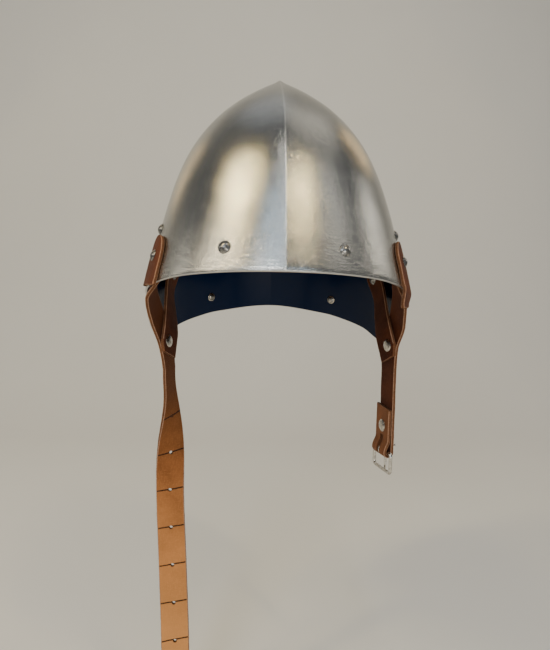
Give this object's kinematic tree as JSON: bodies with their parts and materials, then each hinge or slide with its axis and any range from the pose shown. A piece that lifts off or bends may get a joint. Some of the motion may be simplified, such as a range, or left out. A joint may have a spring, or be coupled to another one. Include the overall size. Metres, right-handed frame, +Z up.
{
  "type": "bascinet",
  "caption": "Pointed open-faced steel war hat with a medial keel, riveted leather suspension liner, forked side straps and a two-part chin strap, punched on one side and buckled on the other.",
  "frame": {"origin": "centre of the flat underside of the liner's crown disc, where the top of the wearer's head rests", "axes": "+Z up towards the apex, the brow faces -Y, +X to the wearer's left, the buckle side"},
  "size_m": [0.2248, 0.2471, 0.5435],
  "materials": {
    "skull_steel": "satin, brushed, black painted inside",
    "liner_leather": "vegetable-tanned, matte",
    "rivet_nickel": "nickel-plated, worn",
    "washer_nickel": "nickel-plated",
    "strap_leather": "vegetable-tanned, waxed grain, rough flesh side",
    "buckle_nickel": "polished wire"
  },
  "bodies": {
    "helmet": {"skull_shell": "skull_steel", "liner_band": "liner_leather", "liner_tongue_1": "liner_leather", "liner_tongue_2": "liner_leather", "liner_tongue_3": "liner_leather", "liner_tongue_4": "liner_leather", "liner_tongue_5": "liner_leather", "liner_tongue_6": "liner_leather", "liner_tongue_7": "liner_leather", "liner_tongue_8": "liner_leather", "liner_crown_disc": "liner_leather", "front_rivet_left": "rivet_nickel", "front_rivet_right": "rivet_nickel", "side_rivet_left": "rivet_nickel", "side_rivet_right": "rivet_nickel", "rear_liner_rivet_left": "rivet_nickel", "rear_liner_rivet_right": "rivet_nickel", "back_rivet_left": "rivet_nickel", "back_rivet_right": "rivet_nickel", "tab_rivet_left": "rivet_nickel", "tab_rivet_right": "rivet_nickel", "rear_leg_rivet_left": "rivet_nickel", "rear_leg_rivet_right": "rivet_nickel", "junction_rivet_left": "rivet_nickel", "junction_rivet_right": "rivet_nickel", "front_washer_left": "washer_nickel", "front_washer_right": "washer_nickel", "side_washer_left": "washer_nickel", "side_washer_right": "washer_nickel", "rear_liner_washer_left": "washer_nickel", "rear_liner_washer_right": "washer_nickel", "back_washer_left": "washer_nickel", "back_washer_right": "washer_nickel", "outer_tab_left": "strap_leather", "outer_tab_right": "strap_leather", "front_leg_left": "strap_leather", "front_leg_right": "strap_leather", "rear_leg_left": "strap_leather", "rear_leg_right": "strap_leather"},
    "punched_half": {"punched_strap": "strap_leather"},
    "buckle_half": {"buckle_strap": "strap_leather", "buckle_rivet": "rivet_nickel"},
    "frame_swing": {"buckle_frame": "buckle_nickel"},
    "prong_swing": {"buckle_prong": "buckle_nickel"}
  },
  "joints": [
    {"name": "punched_half_hinge", "type": "hinge", "parent": "helmet", "child": "punched_half", "pos_m": [-0.0895, -0.02383, -0.19526], "axis": [0.2079, 0.9781, 0], "range_deg": [-40, 90]},
    {"name": "buckle_half_hinge", "type": "hinge", "parent": "helmet", "child": "buckle_half", "pos_m": [0.0988, -0.02383, -0.19526], "axis": [0.2079, -0.9781, 0], "range_deg": [-40, 90]},
    {"name": "frame_hinge", "type": "hinge", "parent": "buckle_half", "child": "frame_swing", "pos_m": [0.09557, -0.02452, -0.26326], "axis": [0.2079, -0.9781, 0], "range_deg": [-75, 75]},
    {"name": "prong_hinge", "type": "hinge", "parent": "frame_swing", "child": "prong_swing", "pos_m": [0.09557, -0.02452, -0.26326], "axis": [0.2079, -0.9781, 0], "range_deg": [0, 60]}
  ]
}
